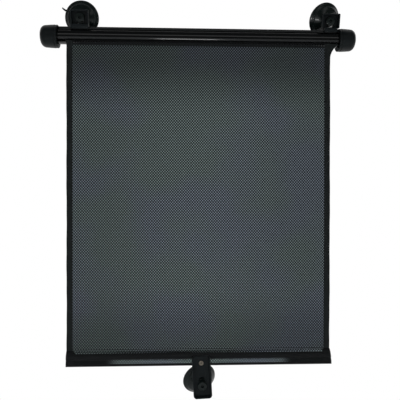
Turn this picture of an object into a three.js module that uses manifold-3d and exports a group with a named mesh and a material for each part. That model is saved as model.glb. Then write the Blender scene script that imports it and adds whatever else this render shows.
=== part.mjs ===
// Roll-up sunshade for a car side window, 40 x 50 cm, drawn out to its full length.
// Millimetres. X runs along the case, Z is up and the window glass is on the +Y side.
// The origin is on the axis of the case tube, at the middle of its length.
import * as THREE from 'three';
import { mergeVertices } from 'three/addons/utils/BufferGeometryUtils.js';
import Module from 'manifold-3d';

const wasm = await Module();
wasm.setup();

// Clearances
const runningGap = 0.3;
const snugGap = 0.1;

// Case tube with its slot and its T-rail
const caseBeyond = 40;
const tubeRadius = 11.4;
const tubeWall = 1.3;
const slotFrom = 207;
const slotTo = 238;
const lipRadius = 0.9;
const railLean = 15;
const railStemWidth = 3.2;
const railRise = 1.9;
const railHeadWidth = 9;
const railHeadThickness = 1.3;

// End caps
const capLength = 26;
const capRadius = 17.2;
const capDraft = 0.8;
const capFaceRadius = 8;
const capEndWall = 3.5;
const capSocketDepth = 18;
const capGrooveDepth = 0.6;
const capGrooveWidth = 1.4;
const capRimWidth = 2.8;
const capBossRadius = 5;
const capBossLength = 5.5;
const capBlindEnd = 2.5;

// Spring roller
const rollerRadius = 5;
const rollerWall = 1.2;
const rollerBeyond = 20;
const plugDepth = 12;
const plugFlangeRadius = 6.4;
const plugFlange = 1.5;
const axleRadius = 2;
const axleTip = 6;
const spindleRadius = 1.6;
const spindleProud = 1.6;
const spindleStub = 1;
const bushLength = 9;
const anchorLength = 12;
const springWire = 0.4;
const springTurns = 24;
const springPitch = 4.6;
const grooveWidth = 2.4;
const grooveDepth = 0.7;

// Shade fabric
const fabricWidth = 400;
const fabricThickness = 0.5;
const wrapThickness = 0.35;
const wrapTurns = 1.4;
const wrapPitch = 0.5;
const dropLength = 500;
const tapeWidth = 8.5;
const tapeThickness = 0.4;
const meshColumns = 10;
const meshRows = 12;
const meshOpenShare = 0.56;

// Hem pocket and bottom bar
const barHeight = 13.4;
const barThickness = 5.4;
const barShort = 1;
const seamHeight = 10.6;
const pocketFabric = 0.45;
const pocketFlare = 1.5;

// Top brackets
const leftBracketIn = 59;
const rightBracketIn = 38.5;
const bracketWidth = 27;
const bracketHeight = 20.4;
const bracketDepth = 8;
const bracketWall = 2;
const bracketCorner = 1.6;
const bracketFloor = 1.2;
const footJaw = 1.8;
const footWidthLeft = 27;
const footWidthRight = 20;
const seatAbove = 9.5;
const keyholeReach = 5.8;

// Pull tab at the bottom
const rivetX = 2.6;
const tabTop = 10.7;
const tabBottom = 52.6;
const tabWidth = 28;
const tabFlange = 5;
const tabWall = 2;
const tabCorner = 5;
const tabSwing = 3;
const tabSeatBelow = 34.3;
const tabKeyholeReach = 8;
const tabEntryRadius = 5.2;
const bossRadius = 4.6;

// Rivet and washer
const rivetBore = 1.2;
const rivetShank = 2.1;
const rivetHead = 3.5;
const rivetHeadHeight = 0.9;
const washerRadius = 4.5;
const washerThickness = 0.8;

// Suction cups
const cupRadius = 26;
const cupDepth = 15;
const cupLip = 1.8;
const cupNeckRadius = 3.8;
const cupShoulder = 9;
const cupHeadRadius = 7;
const cupHeadHeight = 4;
const cupRoot = 1;
const cupRootRise = 1.6;
const cupWaist = 3;
const cupWaistRise = 6;
const cupBrim = 3;
const cupHollow = 10;
const cupDimpleRadius = 2;
const cupDimpleDepth = 0.9;
const cupTongueWidth = 3;
const cupTongueReach = 7.5;
const cupTongueThickness = 1.4;
const rightCupTurn = 17;
const rightCupLean = 14;
const bottomCupTurn = 16;
const bottomCupLean = 19;
const tongueLeft = 148;
const tongueRight = 262;
const tongueBottom = 268;

// Places that follow from the sizes above
const deg = Math.PI / 180;
const innerRadius = tubeRadius - tubeWall;
const lipMiddle = tubeRadius - tubeWall / 2;
const railTop = tubeRadius + railRise + railHeadThickness;
const caseLength = fabricWidth + 2 * caseBeyond;
const rollerLength = fabricWidth + 2 * rollerBeyond;
const capOuter = caseLength / 2;
const capMouth = capOuter - capLength;
const tubeLength = 2 * (capOuter - (capLength - capSocketDepth) - runningGap);
const rollerInner = rollerRadius - rollerWall;
const wrapStart = rollerRadius + wrapThickness / 2 + snugGap / 2;
const wrapEnd = wrapStart + wrapPitch * wrapTurns;
const springRadius = spindleRadius + springWire + 2.2 * runningGap + springWire / 2;
const slotMiddle = ((slotFrom + slotTo) / 2) * deg;
const panelY = Math.cos(slotMiddle) * tubeRadius;
const slotZ = Math.sin(slotMiddle) * tubeRadius;
const pocketSkin = pocketFabric + runningGap;
const bottomZ = -dropLength;
const barZ = bottomZ + seamHeight + barHeight / 2;
const pocketTop = barZ + barHeight / 2 + pocketSkin;
const panelBottom = pocketTop + runningGap;
const panelFace = fabricThickness / 2;
const tapeTop = slotZ - 1.6;
const rivetZ = bottomZ + seamHeight / 2;
const seamHalf = pocketFabric;
const tabBack = panelY - barThickness / 2 - pocketSkin - runningGap;
const neckLength = bracketWall + 2 * runningGap;
const trayLow = capRadius + runningGap;
const trayFloor = trayLow + bracketFloor;
const trayTop = trayFloor + bracketHeight;

const plastic = (name, color, roughness) =>
  new THREE.MeshStandardMaterial({ name, color, roughness, metalness: 0 });
const metal = (name, color, roughness) =>
  new THREE.MeshStandardMaterial({ name, color, roughness, metalness: 1 });

const casePlastic = plastic('case_plastic', 0x0a0b0c, 0.18);
const capPlastic = plastic('cap_plastic', 0x17191b, 0.5);
const bracketPlastic = plastic('bracket_plastic', 0x1b2024, 0.42);
const cupVinyl = plastic('cup_vinyl', 0x1a1f1e, 0.3);
const meshFabric = plastic('mesh_fabric', 0x101214, 0.75);
const tapeFabric = plastic('tape_fabric', 0x0d0f11, 0.6);
const barPlastic = plastic('bar_plastic', 0x0b0c0d, 0.4);
const innerPlastic = plastic('inner_plastic', 0xd9d9d2, 0.5);
const springSteel = metal('spring_steel', 0x8d9094, 0.35);
const rollerMetal = metal('roller_metal', 0xb4b7ba, 0.35);
const rivetMetal = metal('rivet_metal', 0xb9ad98, 0.35);

const alongX = new THREE.Matrix4().makeBasis(
  new THREE.Vector3(0, 1, 0), new THREE.Vector3(0, 0, 1), new THREE.Vector3(1, 0, 0));
const towardFront = new THREE.Matrix4().makeBasis(
  new THREE.Vector3(1, 0, 0), new THREE.Vector3(0, 0, 1), new THREE.Vector3(0, -1, 0));
const aboutX = new THREE.Matrix4().makeBasis(
  new THREE.Vector3(0, 1, 0), new THREE.Vector3(1, 0, 0), new THREE.Vector3(0, 0, -1));

// Signed volume of an indexed closed mesh
function volumeOf(geometry) {
  const place = geometry.attributes.position;
  const corner = [0, 1, 2].map(() => new THREE.Vector3());
  let sum = 0;
  for (let i = 0; i < geometry.index.count; i += 3) {
    corner.forEach((point, k) => point.fromBufferAttribute(place, geometry.index.getX(i + k)));
    sum += corner[0].dot(corner[1].clone().cross(corner[2]));
  }
  return sum / 6;
}

// One welded closed mesh with its faces pointing out
function weld(source) {
  const bare = source.clone();
  bare.deleteAttribute('normal');
  bare.deleteAttribute('uv');
  const geometry = mergeVertices(bare, 1e-4);
  const kept = [];
  for (let i = 0; i < geometry.index.count; i += 3) {
    const [a, b, c] = [0, 1, 2].map((k) => geometry.index.getX(i + k));
    if (a !== b && b !== c && c !== a) kept.push(a, b, c);
  }
  geometry.setIndex(kept);
  if (volumeOf(geometry) < 0) geometry.setIndex(kept.reverse());
  return geometry;
}

function solid(source) {
  const geometry = weld(source);
  return new wasm.Manifold(new wasm.Mesh({
    numProp: 3,
    vertProperties: new Float32Array(geometry.attributes.position.array),
    triVerts: new Uint32Array(geometry.index.array),
  }));
}

function geometryOf(body) {
  const cut = body.getMesh();
  const geometry = new THREE.BufferGeometry();
  geometry.setAttribute('position', new THREE.BufferAttribute(cut.vertProperties, 3));
  geometry.setIndex(new THREE.BufferAttribute(cut.triVerts, 1));
  return geometry;
}

function join(...bodies) {
  return bodies.reduce((whole, body) => whole.add(body));
}

// Section in Y and Z, run along X from one place to another
function barAlongX(shape, fromX, toX, curveSegments = 6) {
  const options = { depth: toX - fromX, bevelEnabled: false, curveSegments };
  const geometry = new THREE.ExtrudeGeometry(shape, options);
  return geometry.applyMatrix4(alongX).translate(fromX, 0, 0);
}

// Outline in X and Z, given its thickness toward the front from a back face
function plate(shape, backY, thickness, curveSegments = 6) {
  const options = { depth: thickness, bevelEnabled: false, curveSegments };
  const geometry = new THREE.ExtrudeGeometry(shape, options);
  return geometry.applyMatrix4(towardFront).translate(0, backY, 0);
}

function turnedAboutX(points, sides) {
  return new THREE.LatheGeometry(points, sides).applyMatrix4(aboutX);
}

function points(...pairs) {
  return pairs.map(([radius, height]) => new THREE.Vector2(radius, height));
}

function box(fromX, toX, fromY, toY, fromZ, toZ) {
  const geometry = new THREE.BoxGeometry(toX - fromX, toY - fromY, toZ - fromZ);
  return geometry.translate((fromX + toX) / 2, (fromY + toY) / 2, (fromZ + toZ) / 2);
}

function roundedShape(left, right, low, high, radius) {
  const shape = new THREE.Shape();
  shape.absarc(right - radius, high - radius, radius, 0, 90 * deg, false);
  shape.absarc(left + radius, high - radius, radius, 90 * deg, 180 * deg, false);
  shape.absarc(left + radius, low + radius, radius, 180 * deg, 270 * deg, false);
  shape.absarc(right - radius, low + radius, radius, 270 * deg, 360 * deg, false);
  return shape;
}

function circleShape(x, y, radius) {
  const shape = new THREE.Shape();
  shape.absarc(x, y, radius, 0, 360 * deg, false);
  return shape;
}

function named(name, geometry, material) {
  const mesh = new THREE.Mesh(weld(geometry), material);
  mesh.name = name;
  return mesh;
}

// T-rail section, upright, from inside the tube wall up to its head
function railShape(grow) {
  const stem = railStemWidth / 2 + grow;
  const head = railHeadWidth / 2 + grow;
  const under = tubeRadius + railRise - grow;
  const foot = tubeRadius - tubeWall / 2;
  const shape = new THREE.Shape();
  shape.moveTo(-stem, foot);
  shape.lineTo(stem, foot);
  shape.lineTo(stem, under);
  shape.lineTo(head, under);
  shape.lineTo(head, railTop + grow);
  shape.lineTo(-head, railTop + grow);
  shape.lineTo(-head, under);
  shape.lineTo(-stem, under);
  shape.closePath();
  return shape;
}

function leaned(geometry) {
  return geometry.rotateX(railLean * deg);
}

function caseTube() {
  const half = tubeLength / 2;
  const shell = new THREE.Shape();
  shell.absarc(0, 0, tubeRadius, slotTo * deg, (slotFrom + 360) * deg, false);
  shell.absarc(0, 0, innerRadius, (slotFrom + 360) * deg, slotTo * deg, true);
  const lips = [slotFrom, slotTo].map((angle) => {
    const y = lipMiddle * Math.cos(angle * deg);
    const z = lipMiddle * Math.sin(angle * deg);
    return solid(barAlongX(circleShape(y, z, lipRadius), -half, half, 10));
  });
  const rail = solid(leaned(barAlongX(railShape(0), -half, half)));
  return geometryOf(join(solid(barAlongX(shell, -half, half, 44)), rail, ...lips));
}

// Radius and height of an end cap, measured in from its outer face
function capProfile(boreRadius, boreFrom) {
  const corner = capRadius - capDraft - capFaceRadius;
  const grooveFrom = capLength - capRimWidth - capGrooveWidth;
  const socket = tubeRadius + runningGap;
  const floor = capLength - capSocketDepth;
  const boss = capEndWall + capBossLength;
  const outline = new THREE.Path();
  outline.moveTo(boreFrom === 0 ? boreRadius : 0, 0);
  outline.lineTo(capFaceRadius, 0);
  outline.absarc(capFaceRadius, corner, corner, -90 * deg, 0, false);
  outline.lineTo(capRadius, grooveFrom);
  outline.lineTo(capRadius - capGrooveDepth, grooveFrom + 0.2);
  outline.lineTo(capRadius - capGrooveDepth, grooveFrom + capGrooveWidth - 0.2);
  outline.lineTo(capRadius - 0.2, grooveFrom + capGrooveWidth);
  outline.lineTo(capRadius - 0.2, capLength - 0.5);
  outline.lineTo(capRadius - 0.7, capLength);
  outline.lineTo(socket, capLength);
  outline.lineTo(socket, floor);
  outline.lineTo(innerRadius - 0.6, floor);
  outline.lineTo(innerRadius - 0.6, capEndWall);
  outline.lineTo(capBossRadius, capEndWall);
  outline.lineTo(capBossRadius, boss);
  outline.lineTo(boreRadius, boss);
  outline.lineTo(boreRadius, boreFrom);
  const profile = outline.getPoints(4);
  profile.push(boreFrom === 0 ? profile[0].clone() : new THREE.Vector2(0, boreFrom));
  return profile;
}

function endCap(side) {
  const right = side > 0;
  const bore = right ? spindleRadius + snugGap : axleRadius + runningGap;
  const turned = turnedAboutX(capProfile(bore, right ? 0 : capBlindEnd), 40);
  turned.scale(-side, 1, 1).translate(side * capOuter, 0, 0);
  const notch = leaned(barAlongX(railShape(runningGap), -capSocketDepth, capSocketDepth));
  notch.translate(side * (capMouth + runningGap), 0, 0);
  return geometryOf(solid(turned).subtract(solid(notch)));
}

function spindle() {
  const tip = capOuter + spindleProud;
  const length = tip - spindleInner;
  const profile = points([0, 0], [spindleRadius - 0.4, 0], [spindleRadius, 0.5],
    [spindleRadius, length - 0.5], [spindleRadius - 0.5, length], [0, length]);
  return turnedAboutX(profile, 16).translate(spindleInner, 0, 0);
}

function ring(outer, inner, fromX, toX, sides = 18) {
  const length = toX - fromX;
  const profile = points([inner, 0], [outer - 0.3, 0], [outer, 0.3], [outer, length - 0.3],
    [outer - 0.3, length], [inner, length], [inner, 0]);
  return turnedAboutX(profile, sides).translate(fromX, 0, 0);
}

class Helix extends THREE.Curve {
  getPoint(t) {
    const angle = 2 * Math.PI * springTurns * t;
    const x = springFrom + springTurns * springPitch * t;
    return new THREE.Vector3(x, springRadius * Math.cos(angle), springRadius * Math.sin(angle));
  }
}

// The spring train is stacked inward from the plug on the spindle
const springFrom = rollerLength / 2 - plugDepth - springWire - runningGap - springTurns * springPitch;
const anchorFrom = springFrom - springWire - runningGap - anchorLength;
const bushFrom = anchorFrom - spindleStub - bushLength;
const spindleInner = bushFrom - spindleStub;

function torsionSpring() {
  const wire = new THREE.Shape();
  wire.absarc(0, 0, springWire, 0, 360 * deg, false);
  const options = { steps: springTurns * 9, curveSegments: 3, extrudePath: new Helix() };
  return new THREE.ExtrudeGeometry(wire, options);
}

function clampGroove(width, depth, fromX, toX) {
  return box(fromX, toX, -width / 2, width / 2, rollerRadius - depth, rollerRadius + depth);
}

function rollerTube() {
  const half = rollerLength / 2;
  const groove = clampGroove(grooveWidth, grooveDepth, -fabricWidth / 2 - 1, fabricWidth / 2 + 1);
  return geometryOf(solid(ring(rollerRadius, rollerInner, -half, half)).subtract(solid(groove)));
}

function clampStrip() {
  const half = grooveWidth / 2 - snugGap;
  const floor = rollerRadius - grooveDepth + snugGap;
  const crown = Math.sqrt(rollerRadius ** 2 - half ** 2);
  const strip = new THREE.Shape();
  strip.moveTo(-half, floor);
  strip.lineTo(half, floor);
  strip.lineTo(half, crown - snugGap);
  strip.quadraticCurveTo(0, rollerRadius + snugGap, -half, crown - snugGap);
  strip.closePath();
  return barAlongX(strip, -fabricWidth / 2, fabricWidth / 2);
}

// Plug in a roller end: body, flange and, on the idle side, a stub axle
function idlePlug() {
  const body = rollerInner - snugGap;
  const end = rollerLength / 2;
  const axleEnd = capOuter - capEndWall - capBossLength + axleTip - end;
  const profile = points([0, -plugDepth], [body - 0.5, -plugDepth], [body, -plugDepth + 0.8],
    [body, 0], [plugFlangeRadius, 0], [plugFlangeRadius, plugFlange], [axleRadius + 0.8, plugFlange],
    [axleRadius, plugFlange + 0.8], [axleRadius, axleEnd - 0.5], [axleRadius - 0.5, axleEnd],
    [0, axleEnd]);
  return turnedAboutX(profile, 18).scale(-1, 1, 1).translate(-end, 0, 0);
}

function springPlug() {
  const body = rollerInner - snugGap;
  const bore = spindleRadius + runningGap;
  const profile = points([bore, -plugDepth], [body - 0.5, -plugDepth], [body, -plugDepth + 0.8],
    [body, 0], [plugFlangeRadius, 0], [plugFlangeRadius, plugFlange], [bore, plugFlange],
    [bore, -plugDepth]);
  return turnedAboutX(profile, 18).translate(rollerLength / 2, 0, 0);
}

// Where the fabric leaves the roll on its way to the slot
const exitPoint = new THREE.Vector2(panelY, slotZ);
const tangentAngle = slotMiddle - Math.acos(wrapEnd / exitPoint.length());
const tangentPoint = new THREE.Vector2(Math.cos(tangentAngle), Math.sin(tangentAngle))
  .multiplyScalar(wrapEnd);

function fabricWrap() {
  const sides = Math.round(28 * wrapTurns);
  const outline = [];
  const rim = (offset, i) => {
    const turn = (i / sides) * wrapTurns;
    const angle = tangentAngle - (wrapTurns - turn) * 2 * Math.PI;
    const radius = wrapStart + wrapPitch * turn + offset;
    return new THREE.Vector2(radius * Math.cos(angle), radius * Math.sin(angle));
  };
  for (let i = 0; i <= sides; i += 1) outline.push(rim(wrapThickness / 2, i));
  for (let i = sides; i >= 0; i -= 1) outline.push(rim(-wrapThickness / 2, i));
  return barAlongX(new THREE.Shape(outline), -fabricWidth / 2, fabricWidth / 2);
}

// Open mesh as a lattice of diamond gaps, every other row set over by half a gap
function meshPanel() {
  const half = fabricWidth / 2;
  const sheet = new THREE.Shape();
  sheet.moveTo(-half, panelBottom);
  sheet.lineTo(half, panelBottom);
  sheet.lineTo(half, slotZ);
  sheet.lineTo(-half, slotZ);
  sheet.closePath();
  const cellWidth = (fabricWidth - 3 * tapeWidth) / (meshColumns + 0.5);
  const cellHeight = (slotZ - panelBottom - tapeWidth) / (meshRows + 0.5);
  const gapX = (cellWidth * meshOpenShare) / 2;
  const gapZ = cellHeight * meshOpenShare;
  for (let row = 0; row < meshRows; row += 1) {
    for (let column = 0; column < meshColumns; column += 1) {
      const shift = row % 2 === 0 ? -0.25 : 0.25;
      const x = (column + 0.5 - meshColumns / 2 + shift) * cellWidth;
      const z = (slotZ + panelBottom) / 2 + (row + 0.5 - meshRows / 2) * cellHeight;
      const gap = new THREE.Path();
      gap.moveTo(x - gapX, z);
      gap.lineTo(x, z - gapZ);
      gap.lineTo(x + gapX, z);
      gap.lineTo(x, z + gapZ);
      gap.closePath();
      sheet.holes.push(gap);
    }
  }
  const lead = exitPoint.clone().sub(tangentPoint);
  const along = lead.clone().normalize();
  const across = new THREE.Vector2(-along.y, along.x).multiplyScalar(panelFace);
  const start = tangentPoint.clone().addScaledVector(along, runningGap);
  const end = exitPoint.clone().addScaledVector(along, panelFace);
  const strip = new THREE.Shape([start.clone().add(across), start.clone().sub(across),
    end.clone().sub(across), end.clone().add(across)]);
  const hanging = solid(plate(sheet, panelY + panelFace, fabricThickness));
  return geometryOf(join(hanging, solid(barAlongX(strip, -half, half))));
}

// Binding tape folded over a side edge of the mesh
function edgeTape(side) {
  const outerX = fabricWidth / 2 + snugGap + tapeThickness;
  const innerX = fabricWidth / 2 - tapeWidth;
  const outerY = panelFace + snugGap + tapeThickness;
  const tape = solid(box(innerX, outerX, panelY - outerY, panelY + outerY, panelBottom, tapeTop));
  const fold = solid(box(innerX - 1, fabricWidth / 2 + snugGap, panelY - panelFace - snugGap,
    panelY + panelFace + snugGap, panelBottom - 1, tapeTop + 1));
  return geometryOf(tape.subtract(fold)).scale(side, 1, 1);
}

function ovalShape(y, z, halfY, halfZ) {
  const shape = new THREE.Shape();
  shape.absellipse(y, z, halfY, halfZ, 0, 360 * deg, false, 0);
  return shape;
}

function bottomBar() {
  const half = fabricWidth / 2 - barShort;
  return barAlongX(ovalShape(panelY, barZ, barThickness / 2, barHeight / 2), -half, half, 24);
}

// Fabric doubled round the bar and closed by a seam strip under it
function hemPocket() {
  const half = fabricWidth / 2 + pocketFlare;
  const outer = ovalShape(panelY, barZ, barThickness / 2 + pocketSkin, barHeight / 2 + pocketSkin);
  const bore = ovalShape(panelY, barZ, barThickness / 2 + runningGap, barHeight / 2 + runningGap);
  const sleeve = solid(barAlongX(outer, -half, half, 24));
  const seamTop = barZ - barHeight / 2;
  const seam = solid(box(-half, half, panelY - seamHalf, panelY + seamHalf, bottomZ, seamTop));
  const eyelet = plate(circleShape(rivetX, rivetZ, rivetShank + snugGap), panelY + tabFlange, 2 * tabFlange, 20);
  const cut = solid(barAlongX(bore, -half - 1, half + 1, 24)).add(solid(eyelet));
  return geometryOf(join(sleeve, seam).subtract(cut));
}

// Neck slot with a wider entry beside the seat
function keyhole(seatZ, entryZ, entryRadius, fromY, toY) {
  const seat = cupNeckRadius + runningGap;
  const depth = toY - fromY;
  const slot = roundedShape(-seat, seat, Math.min(seatZ, entryZ) - 1, Math.max(seatZ, entryZ) + 1, 1);
  return join(solid(plate(circleShape(0, seatZ, seat), toY, depth, 24)),
    solid(plate(slot, toY, depth)), solid(plate(circleShape(0, entryZ, entryRadius), toY, depth, 24)));
}

// Top bracket, upright: a tray open to the front on a foot that grips the rail's head
function topBracket(footWidth) {
  const half = bracketWidth / 2;
  const jaw = railHeadWidth / 2 + runningGap + footJaw;
  const footLow = tubeRadius + runningGap * 1.5;
  const back = jaw;
  const foot = solid(box(-footWidth / 2, footWidth / 2, -jaw, jaw, footLow, trayFloor));
  const railSpace = solid(barAlongX(railShape(runningGap), -half - 1, half + 1));
  const outside = roundedShape(-half, half, trayLow, trayTop, bracketCorner);
  const inside = roundedShape(-half + bracketWall, half - bracketWall, trayFloor,
    trayTop - bracketWall, bracketCorner / 2);
  const block = solid(plate(outside, back, bracketDepth + bracketWall));
  const recess = solid(plate(inside, back - bracketWall, bracketDepth + 1));
  const seatZ = trayFloor + seatAbove;
  const hole = keyhole(seatZ, seatZ - keyholeReach, cupNeckRadius + 1, back - 2 * bracketWall, back + 1);
  return geometryOf(join(block, foot).subtract(join(recess, railSpace, hole)));
}

const bracketBack = railHeadWidth / 2 + runningGap + footJaw;
const bracketSeat = trayFloor + seatAbove;

// Pull tab about its rivet: a shallow tray with a boss behind the rivet hole
function pullTab() {
  const half = tabWidth / 2;
  const outline = roundedShape(-half, half, -tabBottom, tabTop, tabCorner);
  const hollow = roundedShape(-half + tabWall, half - tabWall, -tabBottom + tabWall,
    tabTop + tabCorner, tabCorner - tabWall);
  const block = solid(plate(outline, 0, tabFlange + tabWall, 8));
  const recess = solid(plate(hollow, -tabWall, tabFlange + 1, 8));
  const bossLength = panelY - seamHalf - runningGap - tabBack;
  const boss = solid(plate(circleShape(0, 0, bossRadius), bossLength, bossLength + tabWall / 2, 24));
  const pivot = solid(plate(circleShape(0, 0, rivetShank + runningGap), bossLength + 1, bossLength + 8, 20));
  const entry = -tabSeatBelow + tabKeyholeReach;
  const hole = keyhole(-tabSeatBelow, entry, tabEntryRadius, -tabWall - 1, 1);
  return geometryOf(join(block.subtract(recess), boss).subtract(join(pivot, hole)));
}

// Suction cup about Y: head in front, neck through the plate, dish toward the glass.
// The soft neck bends, so the dish may be turned sideways and leaned up on it.
function suctionCup(tongueAngle, turn = 0, lean = 0) {
  const bend = cupShoulder * Math.sin((turn + lean) * deg);
  const headBack = -neckLength;
  const headFront = headBack - cupHeadHeight;
  const stud = new THREE.Path();
  stud.moveTo(0, headFront + cupDimpleDepth);
  stud.lineTo(cupDimpleRadius - cupDimpleDepth / 2, headFront + cupDimpleDepth);
  stud.lineTo(cupDimpleRadius, headFront);
  stud.lineTo(cupHeadRadius - cupRoot, headFront);
  stud.quadraticCurveTo(cupHeadRadius, headFront, cupHeadRadius, headFront + cupRoot);
  stud.lineTo(cupHeadRadius, headBack - cupDimpleDepth);
  stud.lineTo(cupHeadRadius - cupDimpleDepth, headBack);
  stud.lineTo(cupNeckRadius, headBack);
  stud.lineTo(cupNeckRadius, bend + cupLip);
  stud.lineTo(0, bend + cupLip);
  const bowl = new THREE.Path();
  bowl.moveTo(0, 0);
  bowl.lineTo(cupShoulder - cupRoot, 0);
  bowl.quadraticCurveTo(cupShoulder, 0, cupShoulder + cupRoot / 2, cupRootRise);
  bowl.quadraticCurveTo(cupShoulder + cupWaist, cupWaistRise, cupRadius - cupBrim, cupDepth - cupBrim);
  bowl.quadraticCurveTo(cupRadius, cupDepth - cupRootRise, cupRadius, cupDepth);
  bowl.lineTo(cupRadius - cupLip, cupDepth);
  bowl.quadraticCurveTo(cupShoulder + cupWaist, cupDepth - cupHollow + runningGap, 0, cupDepth - cupHollow);
  const halfTongue = cupTongueWidth / 2;
  const tongue = roundedShape(cupRadius - cupLip / 2, cupRadius + cupTongueReach,
    -halfTongue, halfTongue, halfTongue - snugGap);
  const flap = plate(tongue, cupDepth - runningGap, cupTongueThickness).rotateY(-tongueAngle * deg);
  const dish = solid(new THREE.LatheGeometry(bowl.getPoints(3), 32)).add(solid(flap));
  const placed = geometryOf(dish).rotateX(lean * deg).rotateZ(turn * deg).translate(0, bend, 0);
  return geometryOf(solid(placed).add(solid(new THREE.LatheGeometry(stud.getPoints(3), 32))));
}

// Hollow rivet about Y: rolled head in front, flared end behind the washer
function rivet() {
  const headY = tabBack - tabWall - runningGap - panelY;
  const washerBack = seamHalf + washerThickness + 2 * snugGap;
  const profile = points([rivetBore, headY - 0.3], [rivetBore + 0.5, headY - rivetHeadHeight],
    [rivetHead - 0.9, headY - rivetHeadHeight], [rivetHead, headY - 0.3], [rivetHead, headY],
    [rivetShank, headY], [rivetShank, washerBack + snugGap], [rivetHead - 0.3, washerBack + snugGap],
    [rivetHead - 0.4, washerBack + 0.8], [rivetBore + 0.4, washerBack + 0.9],
    [rivetBore, washerBack + 0.3], [rivetBore, headY - 0.3]);
  return new THREE.LatheGeometry(profile, 20).translate(rivetX, panelY, rivetZ);
}

function washer() {
  const front = seamHalf + snugGap;
  const back = front + washerThickness;
  const profile = points([rivetShank + snugGap, front], [washerRadius, front],
    [washerRadius, back - 0.2], [washerRadius - 0.2, back], [rivetShank + snugGap, back],
    [rivetShank + snugGap, front]);
  return new THREE.LatheGeometry(profile, 20).translate(rivetX, panelY, rivetZ);
}

// Bracket and cup together, set on the leaning rail
function bracketGroup(side, x, footWidth, cupShape) {
  const group = new THREE.Group();
  group.position.x = x;
  group.rotation.x = railLean * deg;
  const cup = named(`suction_cup_${side}`, cupShape, cupVinyl);
  cup.position.set(0, bracketBack + runningGap, bracketSeat);
  group.add(named(`top_bracket_${side}`, topBracket(footWidth), bracketPlastic), cup);
  return group;
}

function tabGroup() {
  const group = new THREE.Group();
  group.position.set(rivetX, tabBack, rivetZ);
  group.rotation.y = -tabSwing * deg;
  const cup = named('suction_cup_bottom', suctionCup(tongueBottom, bottomCupTurn, bottomCupLean), cupVinyl);
  cup.position.set(0, runningGap, -tabSeatBelow);
  group.add(named('pull_tab', pullTab(), bracketPlastic), cup);
  return group;
}

const bushBore = spindleRadius + runningGap;
const anchorBore = spindleRadius + snugGap;
const linerRadius = rollerInner - snugGap;

const shade = new THREE.Group();
shade.add(
  named('cassette_tube', caseTube(), casePlastic),
  named('end_cap_left', endCap(-1), capPlastic),
  named('end_cap_right', endCap(1), capPlastic),
  named('spring_spindle', spindle(), springSteel),
  named('spring_anchor', ring(springRadius, anchorBore, anchorFrom, anchorFrom + anchorLength), innerPlastic),
  named('torsion_spring', torsionSpring(), springSteel),
  named('roller_tube', rollerTube(), rollerMetal),
  named('roller_plug_left', idlePlug(), innerPlastic),
  named('roller_plug_right', springPlug(), innerPlastic),
  named('roller_bush', ring(linerRadius, bushBore, bushFrom, bushFrom + bushLength), innerPlastic),
  named('fabric_clamp_strip', clampStrip(), barPlastic),
  named('fabric_wrap', fabricWrap(), meshFabric),
  named('shade_panel', meshPanel(), meshFabric),
  named('edge_tape_left', edgeTape(-1), tapeFabric),
  named('edge_tape_right', edgeTape(1), tapeFabric),
  named('hem_pocket', hemPocket(), meshFabric),
  named('bottom_bar', bottomBar(), barPlastic),
  named('rivet', rivet(), rivetMetal),
  named('rivet_washer', washer(), rivetMetal),
  bracketGroup('left', leftBracketIn - capOuter, footWidthLeft, suctionCup(tongueLeft)),
  bracketGroup('right', capOuter - rightBracketIn, footWidthRight,
    suctionCup(tongueRight, rightCupTurn, rightCupLean)),
  tabGroup(),
);

export default shade;
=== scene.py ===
"""Roll-up sunshade for a car side window, drawn out to its full length.

Metres, X along the case, Z up, window glass on the +Y side, origin on the axis of the case tube.
"""
import math

import bmesh
import bpy
import numpy as np
from mathutils import Matrix, Vector

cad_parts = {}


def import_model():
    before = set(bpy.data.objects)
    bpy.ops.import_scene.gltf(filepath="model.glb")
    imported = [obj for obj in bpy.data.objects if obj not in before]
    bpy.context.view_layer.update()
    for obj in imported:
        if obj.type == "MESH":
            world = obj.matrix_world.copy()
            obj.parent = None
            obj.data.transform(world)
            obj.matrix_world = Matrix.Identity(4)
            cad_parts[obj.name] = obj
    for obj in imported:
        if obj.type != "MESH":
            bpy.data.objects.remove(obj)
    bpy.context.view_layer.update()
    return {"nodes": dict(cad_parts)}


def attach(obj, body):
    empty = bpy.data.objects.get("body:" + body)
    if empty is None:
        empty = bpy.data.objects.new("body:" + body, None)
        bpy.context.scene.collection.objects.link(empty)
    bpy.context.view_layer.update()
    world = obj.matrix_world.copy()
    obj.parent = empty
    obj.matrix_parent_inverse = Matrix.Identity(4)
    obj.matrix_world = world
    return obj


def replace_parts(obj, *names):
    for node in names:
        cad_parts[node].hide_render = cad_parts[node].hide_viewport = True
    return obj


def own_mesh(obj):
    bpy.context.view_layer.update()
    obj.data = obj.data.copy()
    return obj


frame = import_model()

MM = 0.001
TURN = math.tau

# Case tube, its slot and its rail
TUBE_R = 11.4
TUBE_WALL = 1.3
TUBE_HALF = 231.7
SLOT_FROM, SLOT_TO = 207.0, 238.0
SLOT_LIP = 0.9
RAIL_LEAN = math.radians(15)
RAIL_HEAD = (9.0, 1.3)
RAIL_STEM = 3.2
RAIL_RISE = 1.9
RAIL_SLACK = 0.3
CASE_HALF = 240.0
NOTCH_X, NOTCH_HALF = 214.3, 18.0

# Brackets on the rail: place along the case and width of the foot
BRACKETS = {"left": (-181.0, 27.0), "right": (201.5, 20.0)}

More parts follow.
